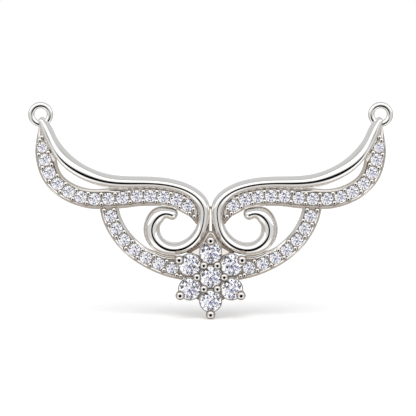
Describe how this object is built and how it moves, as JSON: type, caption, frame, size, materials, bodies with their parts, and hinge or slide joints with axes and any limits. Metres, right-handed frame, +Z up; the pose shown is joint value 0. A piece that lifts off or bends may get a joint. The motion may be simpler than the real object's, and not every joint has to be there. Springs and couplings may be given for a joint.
{
  "type": "mangalsutra pendant",
  "caption": "Winged mangalsutra pendant of polished scrolls, rows of small round stones and a flower cluster of larger stones, hung by a loop at each end.",
  "frame": {"origin": "midway between the centres of the two chain loops", "axes": "+X from the left wing to the right wing as seen from the front, +Y to the back, +Z up"},
  "size_m": [0.0386, 0.003, 0.0228],
  "materials": {
    "white_gold": "mirror polished",
    "diamond": "faceted clear"
  },
  "bodies": {
    "root": {"cast_frame": "white_gold", "wing_stone_right_01": "diamond", "wing_stone_right_02": "diamond", "wing_stone_right_03": "diamond", "wing_stone_right_04": "diamond", "wing_stone_right_05": "diamond", "wing_stone_right_06": "diamond", "wing_stone_right_07": "diamond", "wing_stone_right_08": "diamond", "wing_stone_right_09": "diamond", "wing_stone_right_10": "diamond", "wing_stone_right_11": "diamond", "wing_stone_right_12": "diamond", "wing_stone_right_13": "diamond", "wing_stone_right_14": "diamond", "arc_stone_right_01": "diamond", "arc_stone_right_02": "diamond", "arc_stone_right_03": "diamond", "arc_stone_right_04": "diamond", "arc_stone_right_05": "diamond", "arc_stone_right_06": "diamond", "arc_stone_right_07": "diamond", "wing_stone_left_01": "diamond", "wing_stone_left_02": "diamond", "wing_stone_left_03": "diamond", "wing_stone_left_04": "diamond", "wing_stone_left_05": "diamond", "wing_stone_left_06": "diamond", "wing_stone_left_07": "diamond", "wing_stone_left_08": "diamond", "wing_stone_left_09": "diamond", "wing_stone_left_10": "diamond", "wing_stone_left_11": "diamond", "wing_stone_left_12": "diamond", "wing_stone_left_13": "diamond", "wing_stone_left_14": "diamond", "arc_stone_left_01": "diamond", "arc_stone_left_02": "diamond", "arc_stone_left_03": "diamond", "arc_stone_left_04": "diamond", "arc_stone_left_05": "diamond", "arc_stone_left_06": "diamond", "arc_stone_left_07": "diamond", "cluster_stone_1": "diamond", "cluster_stone_2": "diamond", "cluster_stone_3": "diamond", "cluster_stone_4": "diamond", "cluster_stone_5": "diamond", "cluster_stone_6": "diamond", "cluster_stone_centre": "diamond"}
  },
  "joints": []
}
